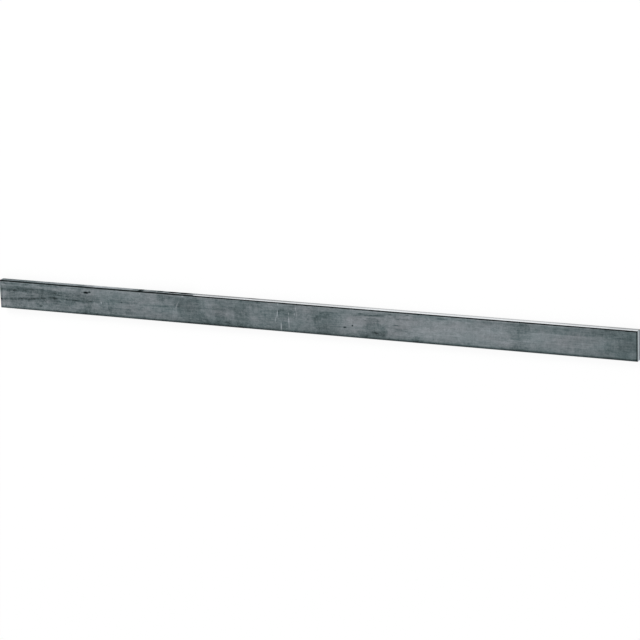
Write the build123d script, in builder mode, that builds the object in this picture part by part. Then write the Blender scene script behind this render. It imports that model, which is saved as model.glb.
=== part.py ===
"""Hot-rolled steel flat bar: one straight rolled length with both ends sawn square.

The bar lies on one wide face. X runs along it, Y across its width and Z up through its
thickness. The origin is on the floor, under the middle of the bar. Millimetres.
"""

import os

from build123d import *

# Driving dimensions
length = 700.0  # the cut length, saw face to saw face
width = 30.0  # across the wide faces
thickness = 8.0  # across the narrow faces
rolled_corner_radius = 0.6  # the rolls leave the four long corners slightly rounded
deburr = 0.3  # the file's flat on the rim of each saw cut

os.makedirs("parts", exist_ok=True)

# The rolled section, drawn at one end and run out to the cut length.
with BuildPart() as flat_bar:
    with BuildSketch(Plane.YZ.offset(-length / 2)):
        with Locations((0, thickness / 2)):
            RectangleRounded(width, thickness, rolled_corner_radius)
    extrude(amount=length)
    saw_cuts = flat_bar.faces().filter_by(Axis.X)
    chamfer(saw_cuts.edges(), length=deburr)

flat_bar.part.label = "flat_bar"
export_step(flat_bar.part, "parts/flat_bar.step")
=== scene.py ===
"""Looks of the steel flat bar: its rolled skin, its sawn ends, the studio and the camera.

Places on the bar are in millimetres in the row frame: x along the bar, y across it, z up.
Blender objects are in metres.
"""

import math

import bpy
from mathutils import Matrix, Vector, noise


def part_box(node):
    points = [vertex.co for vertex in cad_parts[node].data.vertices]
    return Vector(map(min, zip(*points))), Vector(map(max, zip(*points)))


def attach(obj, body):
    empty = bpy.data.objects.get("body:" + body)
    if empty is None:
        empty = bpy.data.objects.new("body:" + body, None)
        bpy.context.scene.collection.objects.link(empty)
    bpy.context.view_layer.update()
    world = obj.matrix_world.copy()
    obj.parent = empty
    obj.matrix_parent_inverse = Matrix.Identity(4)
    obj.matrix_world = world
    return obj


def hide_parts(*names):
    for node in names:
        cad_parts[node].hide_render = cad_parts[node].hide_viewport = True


MM = 0.001

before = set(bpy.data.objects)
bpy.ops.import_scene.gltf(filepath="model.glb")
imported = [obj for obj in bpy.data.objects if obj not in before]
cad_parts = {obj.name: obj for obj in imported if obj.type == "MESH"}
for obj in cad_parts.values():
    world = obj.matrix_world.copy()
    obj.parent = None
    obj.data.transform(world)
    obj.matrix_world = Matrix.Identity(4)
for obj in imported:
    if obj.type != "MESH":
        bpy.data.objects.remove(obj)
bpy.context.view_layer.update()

# ---------------------------------------------------------------- sizes, from the frame
NODE = "flat_bar"
LOW, HIGH = (Vector(corner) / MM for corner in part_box(NODE))
LENGTH, WIDTH, THICKNESS = HIGH - LOW
CORNER_RADIUS = 0.6  # as on the solid
DEBURR = 0.3  # the filed rim of the sawn ends, as on the solid

# ---------------------------------------------------------------- the bar's mesh
HALF_CORNER_STEPS = 3  # segments in half of a rolled corner
WIDE_STEPS = 38
NARROW_STEPS = 8
STATION_PITCH = 1.3  # between rings along the bar
SHARP_FROM = math.radians(30)
SKIN, SAWN = 0, 1  # the bar's two materials, in the order of its slots

# The skin's map is cut into bands along the bar, laid above each other, then both ends.
MAP_BANDS = 3
MAP_GAP = 1.0
MAP_END_SCALE = 2.0

# How far each kind of relief goes into the solid, and how long and how broad its swells are
WAVE_DEPTH = 0.03  # slow hollows left by the rolls
WAVE_SPREAD = (60.0, 22.0)
FURROW_DEPTH = 0.01  # fine furrows along the bar
FURROW_LENGTH = 90.0
FURROWS_PER_MM = 1.3
CORNER_SLUMP = 0.06  # where the steel didn't fill the rolls' corners
SLUMP_SPREAD = (14.0, 5.0)
RIM_WANDER = 0.08  # unevenness of the filed rim
SAW_STEP_DEPTH = 0.05
SAW_STEP_PITCH = 2.3
SAW_SLANT = math.radians(78)  # the saw's lines, from the width axis
SAW_WANDER = 1.5  # how far the lines stray, in radians of their wave
SAW_WANDER_SPREAD = 9.0

# Nicks in the long corners: x, side across (-1 or 1), top or bottom (1 or -1), half length, depth
NICKS = (
    (-182.0, 1, 1, 3.2, 0.45),
    (-137.0, 1, 1, 1.6, 0.25),
    (-61.0, 1, 1, 2.0, 0.15),
    (88.0, 1, 1, 2.6, 0.18),
    (214.0, -1, 1, 1.8, 0.3),
    (-266.0, -1, 1, 2.4, 0.25),
    (31.0, -1, 1, 1.4, 0.2),
    (-98.0, -1, -1, 2.2, 0.3),
    (162.0, 1, -1, 2.8, 0.3),
    (-310.0, 1, -1, 1.5, 0.25),
)


def section_ring():
    """Points round the section from its middle, as (y, z) places and outward normals."""
    sides = (  # outward normal, direction of travel, half length, distance, segments
        (Vector((0, 1)), Vector((-1, 0)), WIDTH / 2, THICKNESS / 2, WIDE_STEPS),
        (Vector((-1, 0)), Vector((0, -1)), THICKNESS / 2, WIDTH / 2, NARROW_STEPS),
        (Vector((0, -1)), Vector((1, 0)), WIDTH / 2, THICKNESS / 2, WIDE_STEPS),
        (Vector((1, 0)), Vector((0, 1)), THICKNESS / 2, WIDTH / 2, NARROW_STEPS),
    )
    ring = []
    for normal, travel, reach, distance, flat_steps in sides:
        flat = reach - CORNER_RADIUS
        core = normal * (distance - CORNER_RADIUS)
        turns = [step / HALF_CORNER_STEPS for step in range(HALF_CORNER_STEPS)]
        for end, shares in ((-1, [turn - 1 for turn in turns]), (1, turns[1:])):
            if end == 1:
                for step in range(flat_steps + 1):
                    along = flat * (2 * step / flat_steps - 1)
                    ring.append((normal * distance + travel * along, normal))
            for share in shares:
                angle = share * math.pi / 4
                out = normal * math.cos(angle) + travel * math.sin(angle)
                ring.append((core + travel * flat * end + out * CORNER_RADIUS, out))
    return ring


def swell(x, y, z):
    """Smooth noise from 0 to 1."""
    return 0.5 + 0.5 * max(-1.0, min(1.0, noise.noise(Vector((x, y, z)))))


def skin_relief(x, place, out):
    """How far the skin lies inside the solid at a point of the ring."""
    y, z = place
    corner = min(1.0, (1 - max(abs(out.x), abs(out.y))) / (1 - math.cos(math.pi / 4)))
    long, broad = WAVE_SPREAD
    depth = WAVE_DEPTH * swell(x / long, y / broad, z / broad)
    depth += FURROW_DEPTH * swell(x / FURROW_LENGTH, y * FURROWS_PER_MM, z * FURROWS_PER_MM)
    long, broad = SLUMP_SPREAD
    depth += CORNER_SLUMP * corner * swell(x / long, y / broad, z / broad)
    for nick_x, across, up, half, deep in NICKS:
        if y * across > 0 and z * up > 0:
            away = abs(x - nick_x) / half
            depth += deep * corner * max(0.0, 1 - away * away)
    return depth


def rim_relief(x, place, out):
    """How far the filed rim lies inside the solid."""
    return RIM_WANDER * swell(x, place.x, place.y)


def end_relief(y, z):
    """How far a sawn end lies inside the solid, in the shallow steps that the blade leaves."""
    across = y * math.sin(SAW_SLANT) + z * math.cos(SAW_SLANT)
    wander = SAW_WANDER * swell(y / SAW_WANDER_SPREAD, z / SAW_WANDER_SPREAD, 3.0)
    return SAW_STEP_DEPTH * (0.5 + 0.5 * math.sin(2 * math.pi * across / SAW_STEP_PITCH + wander))


class BarMesh:
    """The bar as rings of points along X, closed by a grid at each sawn end."""

    def __init__(self):
        self.ring = section_ring()
        self.points, self.faces, self.maps, self.slots = [], [], [], []
        self.walk = [0.0]
        for (here, _), (after, _) in zip(self.ring, self.ring[1:] + self.ring[:1]):
            self.walk.append(self.walk[-1] + (after - here).length)
        self.girth = self.walk[-1]
        self.sheet = max(
            MAP_BANDS * (self.girth + MAP_GAP) + MAP_GAP * 2 + THICKNESS * MAP_END_SCALE,
            LENGTH / MAP_BANDS + 2 * MAP_GAP,
        )

    def add_ring(self, x, inset, relief):
        first = len(self.points)
        for place, out in self.ring:
            y, z = place - out * (inset + relief(x, place, out))
            self.points.append(Vector((x, y, z + THICKNESS / 2)))
        return first

    def add_face(self, corners, places, slot):
        self.faces.append(corners)
        self.maps.extend(place / self.sheet for place in places)
        self.slots.append(slot)

    def add_skin(self):
        """The rolled skin, ring by ring, and the filed rim at both ends."""
        size = len(self.ring)
        span = LENGTH - 2 * DEBURR
        per_band = math.ceil(span / MAP_BANDS / STATION_PITCH)
        steps = per_band * MAP_BANDS
        stations = [DEBURR - LENGTH / 2 + span * step / steps for step in range(steps + 1)]
        self.left_rim = self.add_ring(-LENGTH / 2, DEBURR, rim_relief)
        starts = [self.add_ring(x, 0.0, skin_relief) for x in stations]
        self.right_rim = self.add_ring(LENGTH / 2, DEBURR, rim_relief)
        for step in range(steps):
            band = step // per_band
            left, right = (
                x - stations[band * per_band] + MAP_GAP for x in stations[step : step + 2]
            )
            base = band * (self.girth + MAP_GAP) + MAP_GAP
            for j in range(size):
                k = (j + 1) % size
                low, high = base + self.walk[j], base + self.walk[j + 1]
                self.add_face(
                    (starts[step] + j, starts[step] + k, starts[step + 1] + k, starts[step + 1] + j),
                    [Vector(p) for p in ((left, low), (left, high), (right, high), (right, low))],
                    SKIN,
                )
        for a, b, end in ((self.left_rim, starts[0], 0), (starts[-1], self.right_rim, 1)):
            for j in range(size):
                k = (j + 1) % size
                corners = (a + j, a + k, b + k, b + j)
                places = [self.end_place(self.points[corner], end) for corner in corners]
                self.add_face(corners, places, SAWN)

    def end_place(self, point, end):
        """Where a point of a sawn end lies on the map. The left end is 0 and the right end 1."""
        base = Vector((MAP_GAP, MAP_BANDS * (self.girth + MAP_GAP) + MAP_GAP))
        base.x += end * (WIDTH * MAP_END_SCALE + MAP_GAP)
        return base + Vector((point.y + WIDTH / 2, point.z)) * MAP_END_SCALE

    def add_end(self, first, x, end):
        """Fills the ring that starts at first with a grid, blended from its four sides."""
        wide = WIDE_STEPS + 2 * HALF_CORNER_STEPS
        high = NARROW_STEPS + 2 * HALF_CORNER_STEPS
        size = len(self.ring)

        def edge(index):
            return first + index % size

        grid = {}
        for i in range(wide + 1):
            grid[i, 0] = edge(i)
            grid[i, high] = edge(2 * wide + high - i)
        for j in range(high + 1):
            grid[wide, j] = edge(wide + j)
            grid[0, j] = edge(size - j)
        at = {key: self.points[index].copy() for key, index in grid.items()}
        inward = Vector((-1 if end else 1, 0, 0))
        for i in range(1, wide):
            for j in range(1, high):
                u, v = i / wide, j / high
                blend = at[i, 0] * (1 - v) + at[i, high] * v + at[0, j] * (1 - u) + at[wide, j] * u
                top = at[0, 0] * (1 - u) + at[wide, 0] * u
                bottom = at[0, high] * (1 - u) + at[wide, high] * u
                point = blend - top * (1 - v) - bottom * v
                grid[i, j] = len(self.points)
                self.points.append(point + inward * end_relief(point.y, point.z))
        for i in range(wide):
            for j in range(high):
                corners = (grid[i, j], grid[i + 1, j], grid[i + 1, j + 1], grid[i, j + 1])
                if not end:
                    corners = corners[::-1]
                places = [self.end_place(self.points[corner], end) for corner in corners]
                self.add_face(corners, places, SAWN)

    def finished(self, name):
        mesh = bpy.data.meshes.new(name)
        mesh.from_pydata([point * MM for point in self.points], [], self.faces)
        layer = mesh.uv_layers.new(name="OFBake")
        for loop, place in enumerate(self.maps):
            layer.uv[loop].vector = place
        for polygon, slot in zip(mesh.polygons, self.slots):
            polygon.material_index = slot
        mesh.shade_smooth()
        mesh.set_sharp_from_angle(angle=SHARP_FROM)
        mesh.validate()
        return mesh


def make_bar():
    shape = BarMesh()
    shape.add_skin()
    shape.add_end(shape.left_rim, -LENGTH / 2, 0)
    shape.add_end(shape.right_rim, LENGTH / 2, 1)
    bar = bpy.data.objects.new("rolled_flat", shape.finished("rolled_flat"))
    bpy.context.collection.objects.link(bar)
    bar.data.materials.append(rolled_steel())
    bar.data.materials.append(sawn_steel())
    return bar


# ---------------------------------------------------------------- node helper
class Shader:
    """Adds nodes to one material. An input is a number, a tuple or another node's output."""

    def __init__(self, name):
        self.material = bpy.data.materials.new(name)
        self.material.use_nodes = True
        self.nodes = self.material.node_tree.nodes
        self.links = self.material.node_tree.links
        self.nodes.clear()
        place = self.add("ShaderNodeTexCoord", {}, "Object")
        self.place = self.vector("SCALE", place, scale=1 / MM)  # in mm
        self.axes = self.add("ShaderNodeSeparateXYZ", {0: self.place}, output=0).node.outputs

    def add(self, kind, inputs, output=0, **settings):
        node = self.nodes.new(kind)
        for name, value in settings.items():
            setattr(node, name, value)
        for name, value in inputs.items():
            if isinstance(value, bpy.types.NodeSocket):
                self.links.new(value, node.inputs[name])
            else:
                node.inputs[name].default_value = value
        return None if output is None else node.outputs[output]

    def math(self, operation, a, b=0.0, c=0.0, clamp=False):
        inputs = {0: a, 1: b, 2: c}
        return self.add("ShaderNodeMath", inputs, operation=operation, use_clamp=clamp)

    def vector(self, operation, a, b=None, c=None, scale=None):
        output = "Value" if operation in ("LENGTH", "DOT_PRODUCT") else "Vector"
        inputs = {0: a, 1: b, 2: c, "Scale": scale}
        inputs = {name: value for name, value in inputs.items() if value is not None}
        return self.add("ShaderNodeVectorMath", inputs, output, operation=operation)

    def stretched(self, scale):
        """The place in mm times a scale for each axis."""
        return self.vector("MULTIPLY", self.place, scale)

    def noise(self, place, scale=1.0, detail=2.0, roughness=0.5, output="Fac"):
        inputs = {"Vector": place, "Scale": scale, "Detail": detail, "Roughness": roughness}
        return self.add("ShaderNodeTexNoise", inputs, output)

    def ramp(self, value, start, end, low=0.0, high=1.0):
        """Goes smoothly from low to high as value goes from start to end."""
        inputs = {"Value": value, 1: start, 2: end, 3: low, 4: high}
        return self.add("ShaderNodeMapRange", inputs, interpolation_type="SMOOTHSTEP")

    def mix_value(self, factor, a, b):
        return self.math("MULTIPLY_ADD", factor, self.math("SUBTRACT", b, a), a)

    def mix(self, factor, a, b):
        node = self.nodes.new("ShaderNodeMix")
        node.data_type = "RGBA"
        for index, value in ((0, factor), (6, a), (7, b)):
            if isinstance(value, bpy.types.NodeSocket):
                self.links.new(value, node.inputs[index])
            else:
                node.inputs[index].default_value = value
        return node.outputs[2]

    def tinted(self, tone, tint):
        """A colour: the tint times a tone."""
        return self.vector("SCALE", tint, scale=tone)

    def finish(self, colour, roughness, metallic, height, height_mm, specular=0.5):
        normal = self.add(
            "ShaderNodeBump", {"Height": height, "Distance": height_mm * MM, "Strength": 1.0}
        )
        inputs = {"Base Color": colour, "Roughness": roughness, "Metallic": metallic}
        inputs |= {"Normal": normal, "Specular IOR Level": specular}
        surface = self.add("ShaderNodeBsdfPrincipled", inputs)
        self.add("ShaderNodeOutputMaterial", {"Surface": surface}, output=None)
        return self.material


# ---------------------------------------------------------------- marks on the upper wide face
# The rows were listed one by one, with the differences between photo and render as a guide. Each
# row: x, y, half length, half breadth, tilt in degrees, change of tone as a share of plain mill
# skin's (for a scratch, as a share of SCRATCH_TONE).
BROAD_TONES = (
    (180, -1, 95, 10, 0, 0.28),
    (60, 0, 13, 8, 0, 0.18),
    (112, 5, 14, 9, 0, 0.08),
    # painted shade: this row darkens the band along the front (-Y) edge
    (70, -15, 330, 4, 0, -0.18),
    (-90, -14, 45, 5, 0, -0.18),
    (352, 0, 26, 40, 0, -0.34),
    (-200, 11, 40, 4, 0, 0.08),
    (-172, 4, 25, 6, 0, 0.10),
    (-292, 0, 60, 9, 0, -0.14),
    (-342, -10, 10, 5, 0, 0.10),
    (-146, 11, 15, 4, 0, -0.08),
    (180, 14, 80, 3, 0, -0.06),
    (-338, -5.6, 14, 2.6, 0, -0.24),
    (-346, 5.6, 8, 3.0, 0, -0.28),
    (-300, 4.6, 24, 2.4, 0, -0.20),
    (-289, -1.4, 8, 2.6, 0, -0.22),
    (-222, -8.4, 26, 3.4, 0, -0.16),
    (-238, 1.8, 6, 2.6, 0, -0.12),
    (-191, 1.2, 7, 2.0, 0, -0.14),
    (-137, 2.0, 4, 3.0, 0, -0.12),
    (-131, 9.8, 4, 2.4, 0, 0.18),
    (-120, 0.6, 5, 2.6, 0, -0.12),
    (-109, -7.0, 7, 4.6, 0, -0.24),
    (-85, -7.2, 9, 3.6, 0, -0.18),
    (-80, 3.8, 13, 2.6, 0, -0.18),
    (-68, 10.6, 7, 2.4, 0, 0.16),
    (-31, 11.0, 7, 3.0, 0, 0.14),
    (-24, 1.6, 20, 4.6, 0, -0.14),
    (-38, -6.0, 9, 2.6, 0, -0.12),
    (-19, -6.0, 4, 3.0, 0, -0.12),
    (12, -10.4, 10, 2.8, 0, -0.20),
    (19, 6.6, 6, 2.4, 0, -0.12),
    (28, 11.4, 8, 2.0, 0, 0.16),
    (42, 0.8, 6, 3.0, 0, 0.14),
    (79, -7.6, 16, 3.4, 0, -0.16),
    (82, 0.0, 13, 6.0, 0, -0.12),
    (105, 0.0, 9, 2.6, 0, -0.20),
    (126, -5.6, 24, 3.4, 0, 0.14),
    (156, 8.8, 12, 2.6, 0, 0.18),
    (165, 1.8, 10, 3.0, 0, 0.12),
    (223, 8.0, 6, 3.6, 0, -0.16),
    (235, -3.0, 7, 3.6, 0, -0.14),
    (245, 2.0, 5, 2.4, 0, 0.12),
    (271, 6.4, 6, 2.0, 0, 0.10),
    (268, -6.2, 8, 3.6, 0, -0.10),
    (313, 10.2, 6, 3.8, 0, -0.20),
    (329, -7.4, 7, 3.6, 0, -0.12),
    (345, -9.0, 4, 5.0, 0, 0.18),
    (-342, -9.6, 5, 4.0, 0, 0.14),
    (-314, 1.6, 13, 2.4, 0, 0.16),
    (-313, -9.4, 9, 2.8, 0, 0.16),
    (-315, 8.0, 6, 2.4, 0, 0.14),
    (-279, 3.2, 7, 2.2, 0, 0.14),
    (-262, 10.4, 5, 2.6, 0, 0.20),
    (-237, 10.0, 6, 2.6, 0, 0.18),
    (-252, -6.0, 4, 3.4, 0, 0.20),
    (-204, -4.0, 12, 2.6, 0, 0.12),
    (-58, 12.0, 9, 2.2, 0, -0.16),
    (-11, 11.4, 11, 2.2, 0, -0.14),
    (7, 11.0, 6, 3.2, 0, 0.14),
    (92, 5.2, 6, 2.4, 0, 0.12),
    (118, -2.0, 7, 3.0, 0, -0.14),
    (142, 11.0, 5, 2.2, 0, -0.16),
    (148, -12.0, 9, 1.8, 0, 0.14),
    (231, -10.8, 8, 2.4, 0, -0.16),
    (248, -9.0, 6, 2.6, 0, -0.12),
)
STAINS = (
    (-344, 4.8, 6, 1.8, 0, -0.14),
    (-326, 6.8, 14, 3.4, 0, -0.24),
    (-332, 9.2, 5, 1.4, 0, -0.16),
    (-319, 7.6, 4, 2.2, 0, -0.14),
    (-301, 7.0, 10, 2.0, 0, -0.14),
    (-287, 6.0, 7, 2.6, 0, -0.20),
    (-272, 4.2, 9, 2.0, 0, -0.16),
    (-286, 10.4, 30, 1.6, 0, 0.24),
    (-340, 10.8, 9, 1.6, 0, 0.12),
    (-344, 1.5, 8, 2.6, 0, 0.14),
    (-337, -9.0, 12, 4.0, 0, 0.08),
    (-332, -6.6, 4, 1.8, 0, -0.10),
    (-252, 3.6, 12, 3.6, 0, -0.16),
    (-256, -5.0, 5, 2.6, 0, 0.08),
    (-247, -9.8, 8, 4.6, 0, -0.22),
    (-234, -5.2, 5.5, 3.2, 0, 0.16),
    (-244, 6.7, 6, 0.9, 0, 0.10),
    (-210, 2.0, 7, 2.0, 0, -0.20),
    (-217, -6.5, 2.6, 3.8, 0, -0.14),
    (-196, -7.5, 3.4, 3.2, 0, -0.14),
    (-141, -5.0, 3.6, 4.6, 0, 0.12),
    (-157, 8.4, 4.5, 2.6, 0, -0.18),
    (-125, 2.0, 13, 14.0, 0, -0.24),
    (-113, 6.0, 3, 5.0, 0, -0.10),
    (-133, -8.0, 3, 2.4, 0, -0.08),
    (-118, -3.5, 4, 2.0, 15, -0.12),
    (-101, -3.0, 5, 3.0, 0, 0.12),
    (-102, -10.8, 12, 2.4, 0, -0.16),
    (-90, -5.0, 6, 5.0, 0, -0.14),
    (-89, 7.0, 7, 6.0, 0, -0.08),
    (-78, -2.8, 5, 4.0, 0, 0.10),
    (-65, 0.0, 8.5, 17, 0, -0.22),
    (-78, -10.5, 7, 1.5, 0, -0.12),
    (-50, -6.0, 6, 4.0, 0, 0.08),
    (-16, 5.2, 9, 3.4, 0, -0.16),
    (-17, -8.0, 4, 3.4, 0, -0.10),
    (14, 3.0, 5, 7.0, 0, -0.08),
    (30, -2.0, 15, 11.0, 0, -0.20),
    (21, -4.0, 5, 7.0, 0, -0.08),
    (29, -11.0, 15, 3.0, 0, -0.10),
    (79, -1.0, 8, 6.5, 0, -0.14),
    (78, -11.0, 14, 3.6, 0, -0.22),
    (91, -7.0, 4, 6.0, 0, -0.22),
    (110, -4.0, 9, 4.0, 0, -0.12),
    (127, -12.0, 6, 3.4, 0, -0.22),
    (152, 11.0, 6, 1.6, 0, -0.08),
    (236, 8.0, 7, 5.0, 0, -0.20),
    (240, 9.0, 3, 3.5, 0, -0.16),
    (229, -1.0, 8, 7.0, 0, -0.12),
    (232, -12.0, 10, 3.0, 0, -0.20),
    (279, 9.3, 36, 4.2, 0, -0.20),
    (307, 9.5, 3, 3.6, 0, -0.10),
    (324, 10.0, 4, 2.4, 0, -0.12),
    (322, -5.0, 5, 6.0, 0, -0.12),
    (341, 0.0, 6, 9.0, 0, -0.08),
    (-345.5, 0.0, 1.6, 16, 0, 0.16),
    (-335, 3.4, 4, 2.0, 0, -0.22),
    (-314, -0.8, 5, 1.4, 0, -0.20),
    (-316, 4.2, 5, 1.4, 0, -0.18),
    (-295, 4.0, 5, 1.4, 0, -0.18),
    (-302, 8.0, 5, 1.2, 0, -0.18),
    (-289, -4.4, 4, 2.2, 0, 0.18),
    (-284, 9.0, 7, 1.2, 0, 0.14),
    (-280, -4.2, 4, 2.0, 0, -0.20),
    (-273, -1.6, 4, 1.4, 0, 0.18),
    (-274, 6.2, 5, 1.6, 0, -0.20),
    (-256, 1.4, 4, 1.8, 0, 0.20),
    (-246, 10.9, 5, 0.9, 0, 0.20),
    (-233, -2.0, 4, 1.8, 0, 0.16),
    (-221, 10.0, 6, 2.4, 0, 0.14),
    (-216, -1.0, 4, 2.0, 0, -0.18),
    (-153, -9.0, 5, 2.0, 0, -0.16),
    (-117, 5.0, 5, 2.4, 0, 0.16),
    (-114, -10.4, 4, 3.2, 0, -0.16),
    (-99, -6.2, 5, 1.8, 0, 0.16),
    (-85, -2.4, 4, 2.2, 0, 0.16),
    (-35, 8.6, 8, 2.0, 0, 0.14),
    (-17, -0.6, 4, 1.8, 0, -0.16),
    (-331, -0.4, 4, 1.6, 0, -0.16),
    (-329, -10.0, 3, 2.0, 0, -0.14),
    (-310, 12.0, 7, 1.0, 0, 0.22),
    (-260, -4.0, 4, 1.6, 0, -0.16),
    (-252, -6.4, 4, 2.4, 0, 0.16),
    (-204, -10.0, 5, 1.8, 0, 0.18),
    (-130, -10.0, 5, 1.8, 0, 0.16),
    (-111, -11.0, 5, 1.6, 0, 0.20),
    (22, 5.6, 4, 1.4, 0, 0.14),
    (28, 0.2, 5, 1.8, 0, 0.12),
    (96, 9.2, 4, 1.4, 0, 0.16),
    (135, 9.0, 6, 2.0, 0, 0.14),
    (174, 9.0, 7, 2.0, 0, 0.14),
    (227, 11.0, 5, 1.8, 0, -0.14),
    (335, 8.6, 4, 1.4, 0, 0.16),
    (82, -5.0, 4, 1.8, 0, 0.20),
    (148, 8.0, 6, 2.0, 0, 0.18),
    (228, -1.4, 5, 3.0, 0, -0.14),
    (235, 5.0, 5, 2.4, 0, -0.16),
    (331, 10.0, 5, 2.2, 0, -0.16),
    (338, 6.2, 5, 2.0, 0, -0.14),
    (-346, 10.6, 3, 1.8, 0, 0.16),
    (-282, -10.0, 4, 2.6, 0, 0.14),
    (-223, -1.0, 2, 2.6, 0, 0.16),
    (-222, -11.0, 4, 1.8, 0, 0.14),
    (-205, 5.2, 3, 1.6, 0, -0.16),
    (-180, 4.0, 4, 2.2, 0, 0.14),
    (-173, -11.2, 4, 2.6, 0, 0.16),
    (-140, 11.4, 10, 1.0, 0, -0.12),
    (-122, 2.0, 4, 1.6, 0, -0.14),
    (-108, 10.6, 4, 1.6, 0, 0.16),
    (21, 2.2, 3, 2.0, 0, -0.16),
    (31, 4.6, 4, 2.8, 0, -0.16),
    (17, 9.0, 2.5, 4.0, 0, -0.14),
    (52, 6.2, 5, 2.6, 0, -0.14),
    (72, 6.4, 4, 2.4, 0, 0.16),
    (89, 3.0, 3, 2.0, 0, 0.18),
    (69, -12.0, 5, 1.2, 0, -0.26),
    (112, -8.6, 5, 1.8, 0, -0.14),
    (214, -11.6, 7, 1.4, 0, -0.13),
    (325, -9.4, 3, 2.4, 0, 0.16),
)
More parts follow.
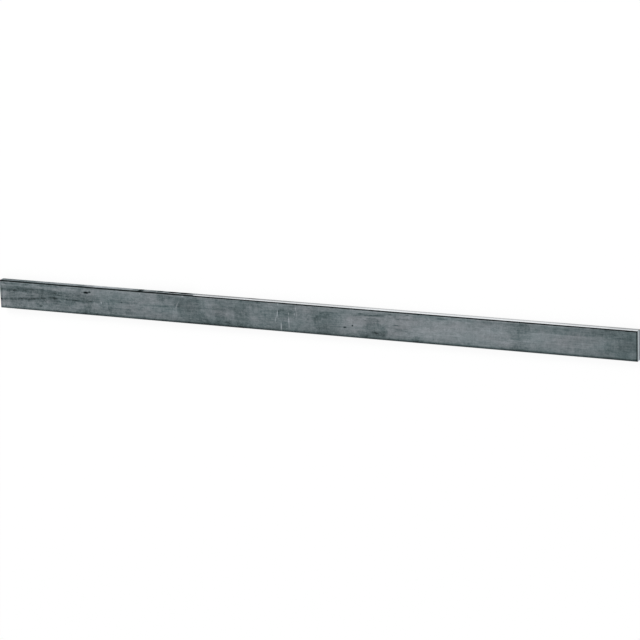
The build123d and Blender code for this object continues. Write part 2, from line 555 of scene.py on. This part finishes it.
STREAKS = (
    (-344, -4.9, 7, 0.8, 4, -0.26),
    (-331, -4.1, 9, 0.9, 4, -0.36),
    (-319, -3.1, 6, 1.1, 4, -0.40),
    (-309, -2.5, 7, 1.0, 4, -0.38),
    (-298, -1.3, 6, 1.2, 4, -0.40),
    (-291, -1.9, 5, 0.6, 0, -0.20),
    (-286, 0.6, 5, 1.0, 0, -0.38),
    (-284, -0.9, 3, 0.6, 0, -0.25),
    (-277, 0.3, 6, 0.8, 0, -0.32),
    (-266, -0.4, 7, 1.2, 0, -0.40),
    (-256, -0.8, 6, 1.0, 0, -0.36),
    (-251, 1.4, 4, 1.0, 0, -0.20),
    (-246, -1.4, 6, 1.2, 0, -0.40),
    (-238, -0.6, 5, 0.9, 0, -0.22),
    (-315, 0.8, 3.4, 0.6, 10, -0.25),
    (-310, 7.8, 7, 0.7, 0, -0.20),
    (-275, 3.0, 10, 0.7, 0, -0.18),
    (-344, 12.2, 4, 0.8, 0, -0.60),
    (-332, 12.2, 6, 0.8, 0, -0.55),
    (-318.0, 12.2, 3.0, 0.7, 0, -0.50),
    (-297, 12.4, 9, 0.6, 0, -0.25),
    (-282, 12.4, 5, 0.6, 0, -0.25),
    (-261, 12.1, 6, 0.7, 0, -0.34),
    (-338, 13.2, 13, 0.7, 0, 0.45),
    (-300, 13.1, 16, 0.7, 0, 0.30),
    (-262, 13.1, 7, 0.7, 0, 0.24),
    (-202, 12.7, 26, 0.7, 0, 0.26),
    (-170, 12.4, 7, 0.8, 0, 0.24),
    (-144, 13.0, 14, 0.7, 0, 0.20),
    (-107, 12.7, 9, 0.7, 0, 0.16),
    (-28, 13.0, 10, 0.7, 0, 0.20),
    (84, 12.9, 24, 0.8, 0, 0.24),
    (180, 12.9, 24, 0.8, 0, 0.22),
    (-175, 11.6, 3, 0.6, 0, -0.20),
    (-157, 12.0, 5, 0.7, 0, -0.22),
    (-147, 11.8, 4, 0.7, 0, -0.18),
    (-118, 11.6, 3, 0.8, 0, -0.25),
    (-169, 0.6, 7, 0.6, 0, -0.20),
    (-159, 1.1, 7, 0.8, 0, -0.28),
    (-151, 1.6, 4, 0.7, 4, -0.22),
    (-100, 2.2, 12, 0.5, 0, -0.12),
    (-30, 6.0, 5, 0.5, 0, -0.18),
    (-18, 6.6, 6, 0.6, 0, -0.22),
    (-10, 3.0, 6, 0.5, 0, -0.14),
    (18.5, 3.2, 4, 1.0, 30, -0.24),
    (16.2, -1.5, 1.3, 5.0, 0, -0.18),
    (26, 8.0, 5, 1.0, 10, -0.32),
    (34, 8.5, 6, 0.9, 0, -0.32),
    (41.5, 7.4, 3, 0.9, -30, -0.30),
    (44.8, 3.0, 1.2, 3.6, 10, -0.20),
    (50, 11.6, 4, 1.4, 0, -0.16),
    (61, 8.0, 5, 0.6, 4, -0.18),
    (75, 8.8, 6, 0.9, 4, -0.40),
    (85, 9.4, 6, 0.9, 4, -0.44),
    (73, 4.6, 3, 0.8, 30, -0.24),
    (79, 5.9, 5, 0.7, 0, -0.26),
    (85.5, 4.0, 3, 0.8, -30, -0.24),
    (84.5, 1.6, 1.3, 2.6, 20, -0.20),
    (95, 11.5, 5, 0.9, 0, -0.22),
    (111, 7.5, 10, 0.7, 0, -0.38),
    (112, 11.0, 6, 1.4, 0, 0.18),
    (158, 6.0, 6, 0.6, 4, -0.18),
    (192, 6.6, 5, 0.7, 0, -0.14),
    (215, 11.4, 38, 1.2, 0, -0.12),
    (215, 12.9, 10, 0.6, 0, 0.20),
    (247, 5.4, 6, 0.7, 0, -0.34),
    (248, 3.9, 6, 0.6, 0, 0.16),
    (280, 4.6, 32, 0.6, 0, 0.12),
    (277, 12.8, 16, 0.6, 0, 0.20),
    (333, 6.6, 5, 0.9, 20, -0.12),
    (342, 2.2, 5, 1.0, 0, 0.16),
    (-315, -12.6, 5, 0.9, 0, -0.22),
    (-238, -12.8, 8, 0.9, 0, -0.24),
    (-210, -12.8, 8, 0.9, 0, -0.22),
    (-132, -12.8, 8, 0.9, 0, -0.22),
    (26, -12.8, 9, 0.9, 0, -0.18),
    (67, 11.9, 8, 1.2, 0, 0.20),
    (337, -6.0, 5, 2.0, -30, -0.10),
    (-343, 1.8, 3, 1.4, 0, 0.22),
    (-320, 0.2, 3, 1.2, 0, 0.24),
    (-291, 13.0, 4, 0.9, 0, -0.30),
    (-307, -1.5, 2, 1.0, 0, -0.24),
    (-262, 3.2, 4, 1.4, 0, 0.18),
    (-154, 9.0, 5, 1.8, 0, -0.20),
    (-118, -3.0, 4, 1.4, 0, 0.20),
    (-95, 2.0, 3, 1.4, 0, -0.22),
    (-79, 11.4, 3, 1.6, 0, -0.20),
    (-15, 13.2, 4, 0.9, 0, 0.26),
    (-12, 6.8, 4, 1.4, 0, 0.22),
    (-15, -3.2, 4, 1.8, 0, 0.20),
    (38, 9.6, 6, 1.2, 0, 0.22),
    (45, 12.4, 3, 1.2, 0, 0.24),
    (13, -2.4, 3, 2.0, 0, 0.18),
    (57, -0.8, 4, 2.2, 0, 0.16),
    (61, 7.8, 4, 1.4, 0, -0.24),
    (81, 6.8, 5, 1.2, 0, 0.20),
    (72, -1.0, 3, 2.4, 0, -0.18),
    (66, -8.0, 4, 1.4, 0, -0.22),
    (87, -7.8, 4, 1.2, 0, -0.26),
    (79, -13.6, 7, 0.8, 0, 0.26),
    (107, 11.2, 4, 1.2, 0, -0.14),
    (113, 8.4, 3, 1.2, 0, 0.20),
    (187, 13.0, 5, 0.9, 0, 0.20),
    (210, 0.8, 3, 2.0, 0, 0.18),
    (242, 11.8, 4, 1.6, 0, 0.16),
    (264, 12.9, 10, 0.9, 0, 0.26),
    (322, 12.8, 4, 1.0, 0, -0.24),
    (317, -7.6, 5, 1.8, 0, -0.15),
    (-336, 6.2, 4, 1.6, 0, 0.18),
    (-325, -7.0, 4, 2.4, 0, 0.15),
    (-285, -2.0, 4, 1.4, 0, -0.20),
    (-264, 10.2, 4, 1.6, 0, 0.18),
    (-238, 10.8, 4, 1.4, 0, 0.18),
    (-237, -3.0, 3, 2.2, 0, 0.16),
    (-199, -1.8, 5, 1.4, 0, 0.18),
    (-144, 0.8, 3, 1.6, 0, -0.18),
    (-21, -6.2, 4, 1.2, 0, -0.18),
)
SPOTS = (
    (-245.0, 8.7, 3.0, 1.2, 0, -1.05),
    (-240.8, 9.4, 1.4, 1.1, 0, -0.95),
    (-249.6, 8.6, 1.5, 0.6, 0, -0.50),
    (-331.5, 5.0, 2.4, 1.1, 0, -0.30),
    (-348.6, -5.3, 1.0, 1.0, 0, -0.50),
    (-300.5, -9.4, 2.0, 1.0, 0, -0.36),
    (-303.0, -7.4, 1.0, 1.0, 0, -0.20),
    (-343.5, -12.4, 1.2, 0.9, 0, -0.40),
    (-331.0, -10.4, 0.9, 1.3, 0, -0.25),
    (-326.0, -8.8, 2.0, 0.8, 0, -0.20),
    (-320.5, -11.6, 1.2, 0.8, 0, -0.30),
    (-315.5, -4.8, 1.2, 1.2, 0, -0.30),
    (-203.0, 1.1, 1.0, 0.9, 0, -0.32),
    (-195.5, 1.6, 2.6, 0.8, 0, -0.18),
    (-187.5, 1.8, 2.6, 0.8, 0, -0.22),
    (-181.0, 0.2, 1.6, 0.6, 0, -0.18),
    (-182.5, -4.5, 1.4, 0.7, 0, -0.16),
    (-137.0, 1.2, 1.5, 1.1, 0, -0.14),
    (-93.0, -2.0, 3.0, 1.0, 0, -0.20),
    (-93.0, 11.7, 1.2, 0.7, 0, -0.30),
    (-46.5, 12.6, 3.0, 0.8, 0, -0.34),
    (-40.0, 1.3, 3.0, 1.0, 0, -0.12),
    (-8.5, 6.2, 3.8, 1.8, 0, -0.22),
    (-7.5, 11.8, 2.6, 1.0, 0, -0.20),
    (9.0, 0.2, 1.4, 1.3, 0, -0.24),
    (48.9, -5.1, 1.6, 0.8, 0, -0.95),
    (45.0, -4.7, 3.0, 0.5, 0, -0.25),
    (53.0, -5.2, 2.4, 0.4, 0, -0.20),
    (57.1, -2.7, 0.85, 0.9, 0, -1.10),
    (66.0, 10.1, 3.0, 0.8, 0, -0.44),
    (81.0, -8.7, 4.0, 1.0, 0, -0.30),
    (92.0, -7.5, 2.4, 1.6, 0, -0.12),
    (103.5, 1.1, 3.0, 0.6, 0, -0.45),
    (107.0, -3.2, 4.0, 1.3, -10, -0.30),
    (103.0, 9.6, 1.6, 1.6, 0, -0.22),
    (98.0, 11.5, 1.6, 0.7, 0, -0.30),
    (116.0, 12.1, 1.8, 0.5, 0, -0.50),
    (152.5, 11.1, 5.0, 0.9, 0, -0.40),
    (155.5, -9.0, 4.0, 1.2, 0, -0.14),
    (180.0, -11.2, 1.6, 1.1, 0, -0.26),
    (181.0, 11.5, 2.2, 0.9, 0, -0.16),
    (280.0, 10.6, 3.0, 1.0, 0, -0.12),
    (324.0, 10.0, 2.4, 1.0, 0, -0.14),
)
SCRATCHES = (
    (-25.0, 3.0, 0.45, 3.6, -8, 0.80),
    (-27.2, -3.4, 0.40, 2.0, -8, 0.50),
    (-12.4, -3.4, 0.45, 3.4, 0, 0.65),
    (-12.4, 3.8, 0.45, 1.2, 0, 0.55),
    (-12.2, -8.8, 0.45, 1.4, 0, 0.35),
    (-3.6, 3.0, 0.30, 4.0, 0, 0.30),
    (-4.6, 9.6, 0.60, 1.4, 0, 0.40),
    (-6.0, 4.0, 0.40, 1.1, 0, 0.55),
    (-9.0, 3.3, 3.2, 0.25, 0, 0.30),
    (-21.0, -9.6, 0.35, 3.8, 0, 0.75),
    (-24.0, 13.0, 0.30, 0.9, 0, 0.55),
    (-227.5, -0.9, 0.42, 1.1, 0, 0.75),
    (-181.5, 12.2, 0.80, 0.9, 0, 0.30),
    (-136.6, 7.2, 0.45, 2.2, -20, 0.22),
    (-138.6, 3.2, 0.50, 2.4, -20, 0.30),
    (-139.6, -1.0, 0.45, 2.6, 0, 0.14),
    (-131.8, 12.9, 1.20, 0.8, 0, 0.45),
)

# Each table with the size and the reach of the noise that makes its rims ragged, both in mm,
# and how sharply they fade
SKIN_MARKS = (
    (BROAD_TONES, 9.0, 1.6, 2.5),
    (STAINS, 5.0, 1.3, 10.0),
    (STREAKS, 3.0, 0.5, 2.5),
)
SPOT_SHARPNESS = 5.0
SCRATCH_SHARPNESS = 3.0
SIDE_MARK_SHARPNESS = 6.0

# On the +Y narrow side: x, z, half length, half height, tilt, change, as a share of the tone.
SIDE_MARKS = (
    (-181.3, 4.0, 3.0, 5.0, 0, -0.90),
    (-187.0, 4.4, 3.5, 2.0, 0, -0.25),
    (-167.5, 4.0, 4.0, 5.0, 0, -0.30),
    (-159.3, 2.0, 4.0, 3.8, 0, -0.80),
    (-151.5, 4.0, 3.0, 5.0, 0, -0.28),
    (-144.2, 2.2, 5.2, 4.0, 0, -1.00),
    (-131.2, 2.2, 6.6, 4.0, 0, -1.00),
    (-143.0, 6.8, 5.0, 0.8, 0, 0.60),
    (-130.0, 6.8, 6.0, 0.8, 0, 0.60),
    (-330.0, 4.0, 26.0, 7.0, 0, -0.53),
    (-270.0, 4.0, 30.0, 7.0, 0, -0.28),
    (-90.0, 3.0, 30.0, 4.0, 0, -0.36),
    (-54.0, 2.5, 7.0, 2.0, 0, -0.40),
    (-30.0, 3.0, 30.0, 3.0, 0, -0.28),
    (30.0, 3.0, 30.0, 3.0, 0, -0.10),
    (180.0, 4.0, 120.0, 8.0, 0, 0.08),
    (290.0, 3.0, 26.0, 3.0, 0, -0.14),
    (335.0, 3.0, 16.0, 4.0, 0, -0.22),
)

# The tint goes from a cool teal where the oxide is thick to nearly grey where it is thin.
DARK_TINT = (0.74, 1.0, 1.045, 1)
LIGHT_TINT = (0.92, 1.0, 1.06, 1)
BARE_TINT = (0.955, 0.985, 1.01)
SAWN_TINT = (0.86, 0.98, 1.03)
FACE_TONE = 0.182  # the reflectance of plain mill skin
SCRATCH_TONE = 0.30
LEAST_TONE = 0.006
# Shares of the skin's tone
# partly painted shade: the dark band along the rolled corners, partly darker oxide kept there
CORNER_OXIDE_AND_SHADE_TONE = 0.04
FRONT_CORNER_OXIDE_AND_SHADE_TONE = 0.36
BURR_SHADOW_TONE = 0.42
# Shares of a narrow side's tone
LEAST_SIDE_CHANGE = 0.03  # what the darkest side mark leaves of it
FRONT_SIDE_SHARE = 0.78  # the front side's bare steel against the back side's

MARK_REACH = 2.5  # how far down from the upper face a mark goes
BARE_FROM = -133.0  # the back narrow side is rubbed bare from here, or up to the wander later
BARE_WANDER = 30.0
FRONT_BARE_SHIFT = 55.0  # the front side's bare part starts this much further right
BURR_SHADOW_FROM = 1.9  # painted shadow along the right end's burr: the skin darkens this far from the right end
BURR_SHADOW_TO = 1.3  # and is darkest from here on


def marks(shader, place, table, sharpness, total=0.0, spread="XY"):
    """Adds to a total each row of a table as an ellipse.

    It lies on the upper face, or on the +Y side if its spread is XZ. Each one fades as
    0.5 ** (distance ** sharpness), where the distance is 1 on its rim. Cycles works out the
    untilted ones first and has room for few results, so they are summed first.
    """
    turned = {}
    for x, y, half_length, half_breadth, tilt, change in sorted(table, key=is_tilted):
        if tilt not in turned:
            turn = {"Vector": place, "Rotation": (0, 0, -math.radians(tilt))}
            turned[tilt] = shader.add("ShaderNodeMapping", turn, vector_type="POINT")
        centre = Matrix.Rotation(-math.radians(tilt), 3, "Z") @ Vector((x, y, THICKNESS))
        scale = (1 / half_length, 1 / half_breadth, 1 / MARK_REACH)
        if spread == "XZ":
            centre = Vector((x, WIDTH / 2, y))
            scale = (1 / half_length, 1 / MARK_REACH, 1 / half_breadth)
        shift = [-part * factor for part, factor in zip(centre, scale)]
        away = shader.vector("LENGTH", shader.vector("MULTIPLY_ADD", turned[tilt], scale, shift))
        mask = shader.math("POWER", 0.5, shader.math("POWER", away, sharpness))
        total = shader.math("MULTIPLY_ADD", mask, change, total)
    return total


def is_tilted(row):
    *_, tilt, change = row
    return tilt != 0


def warped(shader, size, reach, axes=(1.0, 0.6, 0.0)):
    """The place in mm, pushed about by noise, so that what is drawn on it has ragged rims."""
    push = shader.noise(shader.place, 1 / size, 3.0, 0.6, "Color")
    push = shader.vector("SUBTRACT", push, (0.5, 0.5, 0.5))
    push = shader.vector("MULTIPLY", push, [2 * reach * share for share in axes])
    return shader.vector("ADD", shader.place, push)


def skin_noises(s):
    """The noises of mill skin, each about 0.5: along the rolls, across them, and all round."""
    return {
        "streaks": s.noise(s.stretched((0.018, 0.85, 0.85)), 1.0, 5.0, 0.62),
        "fine_streaks": s.noise(s.stretched((0.09, 2.2, 2.2)), 1.0, 4.0, 0.6),
        "clouds": s.noise(s.stretched((0.045, 0.11, 0.11)), 1.0, 3.0, 0.55),
        "mottle": s.noise(s.stretched((0.20, 0.30, 0.30)), 1.0, 3.0, 0.6),
        "chatter": s.noise(s.stretched((0.55, 0.09, 0.09)), 1.0, 3.0, 0.6),
        "grain": s.noise(s.place, 0.75, 4.0, 0.7),
    }


def skin_tone(s, noises):
    """Mill skin's tone as a factor on the steel's own, and its dark spots."""
    x, y, z = s.axes
    top = s.ramp(z, THICKNESS - 1.0, THICKNESS - 0.2)
    worn = s.ramp(s.math("MULTIPLY_ADD", noises["clouds"], 60.0, x), -190.0, -240.0, 1.05, 1.35)
    worn = s.math("MULTIPLY", worn, s.ramp(x, 215.0, 265.0, 1.0, 0.8))
    tone = s.math("MULTIPLY", s.math("SUBTRACT", noises["clouds"], 0.5), s.mix_value(top, 1.2, 0.3))
    for name, amount in ("streaks", 0.7), ("fine_streaks", 0.6), ("mottle", 1.0), ("grain", 0.9):
        tone = s.math("MULTIPLY_ADD", s.math("SUBTRACT", noises[name], 0.5), amount, tone)
    tone = s.math("MULTIPLY", tone, worn)
    tone = s.math("MULTIPLY_ADD", s.math("SUBTRACT", noises["chatter"], 0.5), 0.4, tone)
    tone = s.math("ADD", tone, 1.0)
    for table, size, reach, sharpness in SKIN_MARKS:
        tone = s.math("ADD", tone, marks(s, warped(s, size, reach), table, sharpness))
    spots = marks(s, warped(s, 1.6, 0.6), SPOTS, SPOT_SHARPNESS)
    return s.math("ADD", tone, spots), spots


def corner_shade(s):
    """The rolled corners' dark band of uneven width, blackest on the left of +Y's: partly a darker
    oxide kept in the corners, partly painted shade.
    """
    x, y, z = s.axes
    wander = s.math("SUBTRACT", s.noise(s.stretched((0.12, 0.3, 0.3)), 1.0, 3.0, 0.6), 0.5)
    across = s.math("MULTIPLY_ADD", wander, 0.9, s.math("ABSOLUTE", y))
    across = s.math("ADD", across, s.ramp(x, -120.0, -190.0, 0.15, 0.12))
    back = s.ramp(across, WIDTH / 2 - 1.55, WIDTH / 2 - 1.0, 1.0, CORNER_OXIDE_AND_SHADE_TONE)
    front = s.math("ADD", across, s.ramp(x, -240.0, -300.0, 0.0, -0.25))
    # the front corner's broader band: partly darker oxide, partly painted shade
    front = s.ramp(front, WIDTH / 2 - 2.9, WIDTH / 2 - 0.9, 1.0, FRONT_CORNER_OXIDE_AND_SHADE_TONE)
    return s.mix_value(s.ramp(y, 0.2, -0.2), back, front)


def side_tones(s, grain):
    """The narrow sides: where they are, where rubbed bare, the bare and dull tones, the pits."""
    x, y, z = s.axes
    side = s.ramp(s.math("ABSOLUTE", y), WIDTH / 2 - 0.22, WIDTH / 2 - 0.05)
    bare_side = s.ramp(s.math("ABSOLUTE", y), WIDTH / 2 - 0.30, WIDTH / 2 - 0.08)
    wander = s.noise(s.stretched((0.05, 0, 0.5)), 1.0, 3.0)
    start = s.math("MULTIPLY_ADD", wander, BARE_WANDER, BARE_FROM)
    start = s.math("ADD", start, s.ramp(y, 1.0, -1.0, 0.0, FRONT_BARE_SHIFT))
    bare = s.math("MULTIPLY", bare_side, s.ramp(s.math("SUBTRACT", x, start), -1.5, 1.5))
    ragged = warped(s, 2.2, 2.4, (1.0, 0.0, 0.5))
    change = marks(s, ragged, SIDE_MARKS, SIDE_MARK_SHARPNESS, 1.0, spread="XZ")
    change = s.math("MAXIMUM", change, LEAST_SIDE_CHANGE)
    streaks = s.noise(s.stretched((0.03, 0, 1.6)), 1.0, 4.0, 0.65)
    bare_tone = s.math("MULTIPLY_ADD", streaks, 0.5, 0.64)
    bare_tone = s.math("MULTIPLY_ADD", s.math("SUBTRACT", grain, 0.5), 0.5, bare_tone)
    # painted shade: the bare steel darkens towards the floor
    bare_tone = s.math("MULTIPLY", bare_tone, s.ramp(z, 1.5, 6.5, 0.42, 0.92))
    bare_tone = s.math("MULTIPLY", bare_tone, s.ramp(y, 1.0, -1.0, 1.0, FRONT_SIDE_SHARE))
    away = s.math("ABSOLUTE", s.math("SUBTRACT", z, THICKNESS / 2))
    # the dull side darkens towards its corners: partly darker oxide, partly painted shade
    dull_tone = s.ramp(away, 2.2, 3.7, 1.45, 0.35)
    dull_tone = s.math("MULTIPLY", dull_tone, s.ramp(x, -186.0, -200.0, 1.0, 1.5))
    tones = s.math("MULTIPLY", bare_tone, change), s.math("MULTIPLY", dull_tone, change)
    pitted = s.math("MULTIPLY", side, s.math("SUBTRACT", 1.0, change))
    return side, bare, tones, pitted


def rolled_steel():
    """Mill skin: long rolling streaks, clouds of thicker oxide, stains, spots and scratches."""
    s = Shader("rolled_steel")
    x = s.axes["X"]
    noises = skin_noises(s)
    tone, spots = skin_tone(s, noises)
    scratches = marks(s, s.place, SCRATCHES, SCRATCH_SHARPNESS)
    side, bare, (bare_tone, dull_tone), pitted = side_tones(s, noises["grain"])
    corner = corner_shade(s)
    shade = s.mix_value(side, corner, dull_tone)
    # painted shadow along the right end's burr, over all of the skin
    burr_shadow = s.ramp(x, LENGTH / 2 - BURR_SHADOW_FROM, LENGTH / 2 - BURR_SHADOW_TO, 1.0, BURR_SHADOW_TONE)
    shade = s.math("MULTIPLY", shade, burr_shadow)

    tone = s.math("MULTIPLY", s.math("MULTIPLY", tone, FACE_TONE), shade)
    tone = s.math("MULTIPLY_ADD", scratches, SCRATCH_TONE, tone)
    tone = s.math("MAXIMUM", tone, LEAST_TONE)
    light = s.ramp(tone, 0.045, 0.285)
    hue = s.math("SUBTRACT", s.noise(s.stretched((0.03, 0.08, 0.08)), 1.0, 2.0), 0.5)
    light = s.math("MULTIPLY_ADD", hue, 1.0, light, clamp=True)
    colour = s.tinted(tone, s.mix(light, DARK_TINT, LIGHT_TINT))
    colour = s.mix(bare, colour, s.tinted(bare_tone, BARE_TINT))

    roughness = s.math("MULTIPLY_ADD", noises["streaks"], 0.16, 0.36)
    roughness = s.math("MULTIPLY_ADD", spots, -0.35, roughness)
    roughness = s.math("MULTIPLY_ADD", bare, -0.10, roughness)
    roughness = s.math("MULTIPLY_ADD", pitted, 0.6, roughness, clamp=True)
    # black places show less of the oxide's own shine
    metallic = s.math("MULTIPLY_ADD", bare, 0.2, 0.75)
    metallic = s.math("MULTIPLY_ADD", s.math("SUBTRACT", 1.0, shade), 0.25, metallic)
    metallic = s.math("MULTIPLY_ADD", spots, -0.3, metallic)
    metallic = s.math("MULTIPLY_ADD", pitted, -1.0, metallic, clamp=True)

    height = s.math("MULTIPLY", noises["grain"], 0.35)
    height = s.math("MULTIPLY_ADD", noises["fine_streaks"], 0.5, height)
    height = s.math("MULTIPLY_ADD", spots, 1.0, height)
    height = s.math("MULTIPLY_ADD", scratches, -0.8, height)
    return s.finish(colour, roughness, metallic, height, 0.03, specular=0.0)


def sawn_steel():
    """Bare steel at a saw cut: the blade's fine slanted lines, dulled in patches and on the rim,
    with painted shade towards the floor.
    """
    s = Shader("sawn_steel")
    slant = {"Vector": s.place, "Rotation": (-SAW_SLANT, 0, 0)}
    turned = s.add("ShaderNodeMapping", slant, vector_type="POINT")
    teeth = s.noise(s.vector("MULTIPLY", turned, (0.1, 0.12, 2.6)), 1.0, 4.0, 0.7)
    patches = s.noise(s.place, 0.22, 3.0, 0.6)
    # painted shade: the sawn end darkens towards the floor
    low = s.ramp(s.axes["Z"], 2.8, 5.8, 0.42, 1.25)
    high = s.ramp(s.axes["Z"], THICKNESS - 0.3, THICKNESS - 1.3, 0.25, 1.0)
    rim = s.ramp(s.math("ABSOLUTE", s.axes["X"]), LENGTH / 2 - 0.25, LENGTH / 2 - 0.02, 0.05, 0.95)
    tone = s.math("MULTIPLY_ADD", teeth, 0.5, 0.18)
    tone = s.math("MULTIPLY_ADD", s.math("SUBTRACT", patches, 0.5), 0.25, tone)
    tone = s.math("MULTIPLY", tone, s.math("MULTIPLY", low, s.math("MINIMUM", high, rim)))
    colour = s.tinted(tone, SAWN_TINT)
    roughness = s.math("MULTIPLY_ADD", patches, 0.25, 0.28)
    return s.finish(colour, roughness, 0.95, teeth, 0.05)


# ---------------------------------------------------------------- studio, in metres
def background_seen(nodes, links):
    """1 for the rays that show the backdrop: camera, glossy and transmission rays."""
    path = nodes.new("ShaderNodeLightPath")
    seen = path.outputs["Is Camera Ray"]
    for name in ("Is Glossy Ray", "Is Transmission Ray"):
        larger = nodes.new("ShaderNodeMath")
        larger.operation = "MAXIMUM"
        links.new(seen, larger.inputs[0])
        links.new(path.outputs[name], larger.inputs[1])
        seen = larger.outputs[0]
    return seen


FLOOR_HALF = 12.0
FLOOR_ALBEDO = 0.8
FLOOR_GLOW = 1.06
FLOOR_GLOW_SHARE = 0.8  # how much of the floor's seen colour is plain white, the rest takes shadow


def make_floor():
    mesh = bpy.data.meshes.new("floor")
    half = FLOOR_HALF
    corners = [(-half, -half, 0), (half, -half, 0), (half, half, 0), (-half, half, 0)]
    mesh.from_pydata(corners, [], [(0, 1, 2, 3)])
    floor = bpy.data.objects.new("floor", mesh)
    bpy.context.collection.objects.link(floor)
    material = bpy.data.materials.new("floor")
    material.use_nodes = True
    nodes, links = material.node_tree.nodes, material.node_tree.links
    nodes.clear()
    diffuse = nodes.new("ShaderNodeBsdfDiffuse")
    diffuse.inputs["Color"].default_value = (FLOOR_ALBEDO, FLOOR_ALBEDO, FLOOR_ALBEDO, 1)
    glow = nodes.new("ShaderNodeEmission")
    glow.inputs["Strength"].default_value = FLOOR_GLOW
    share = nodes.new("ShaderNodeMath")
    share.operation = "MULTIPLY"
    links.new(background_seen(nodes, links), share.inputs[0])
    share.inputs[1].default_value = FLOOR_GLOW_SHARE
    mix = nodes.new("ShaderNodeMixShader")
    links.new(share.outputs[0], mix.inputs[0])
    links.new(diffuse.outputs[0], mix.inputs[1])
    links.new(glow.outputs[0], mix.inputs[2])
    output = nodes.new("ShaderNodeOutputMaterial")
    links.new(mix.outputs[0], output.inputs["Surface"])
    mesh.materials.append(material)
    return floor


WORLD_LIGHT = 0.75


def make_world():
    world = bpy.data.worlds.new("studio")
    bpy.context.scene.world = world
    world.use_nodes = True
    nodes, links = world.node_tree.nodes, world.node_tree.links
    nodes.clear()
    lit = nodes.new("ShaderNodeBackground")
    lit.inputs["Strength"].default_value = WORLD_LIGHT
    white = nodes.new("ShaderNodeBackground")
    white.inputs["Strength"].default_value = 1.0
    for node in (lit, white):
        node.inputs["Color"].default_value = (1, 1, 1, 1)
    mix = nodes.new("ShaderNodeMixShader")
    links.new(background_seen(nodes, links), mix.inputs[0])
    links.new(lit.outputs[0], mix.inputs[1])
    links.new(white.outputs[0], mix.inputs[2])
    output = nodes.new("ShaderNodeOutputWorld")
    links.new(mix.outputs[0], output.inputs["Surface"])


SOFTBOXES = (  # name, place, size, watts
    ("key", (-1.2, 2.0, 1.8), (1.4, 1.0), 28.0),
    ("fill", (1.5, -1.6, 1.3), (1.2, 1.2), 6.0),
)


def add_softbox(name, place, size, watts):
    """A lamp that points at the middle of the bar's foot."""
    lamp = bpy.data.lights.new(name, "AREA")
    lamp.shape = "RECTANGLE"
    lamp.size, lamp.size_y = size
    lamp.energy = watts
    box = bpy.data.objects.new(name, lamp)
    box.location = place
    box.rotation_mode = "QUATERNION"
    box.rotation_quaternion = (-Vector(place)).to_track_quat("-Z", "Y")
    bpy.context.collection.objects.link(box)


# ---------------------------------------------------------------- camera
# Fitted to the bar's long edges and visible corners in the photo. Places are in metres.
CAMERA_PLACE = Vector((1.0593, 0.6105, 2.1553))
CAMERA_AIM = Vector((0.02206, 0.00024, 0.008))
IMAGE_UP = Vector((-0.0750, 0.9681, -0.2389))
FOCAL_MM = 140.1
SENSOR_MM = 36.0


def make_camera():
    data = bpy.data.cameras.new("camera")
    data.sensor_width = SENSOR_MM
    data.lens = FOCAL_MM
    camera = bpy.data.objects.new("camera", data)
    back = (CAMERA_PLACE - CAMERA_AIM).normalized()
    right = IMAGE_UP.cross(back).normalized()
    up = back.cross(right)
    turn = Matrix((right, up, back)).transposed()
    camera.matrix_world = Matrix.Translation(CAMERA_PLACE) @ turn.to_4x4()
    bpy.context.collection.objects.link(camera)
    bpy.context.scene.camera = camera


# ---------------------------------------------------------------- the scene
bar = make_bar()
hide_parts(NODE)
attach(bar, "root")

make_floor()
make_world()
for softbox in SOFTBOXES:
    add_softbox(*softbox)
make_camera()
bpy.context.scene.view_settings.view_transform = "Standard"
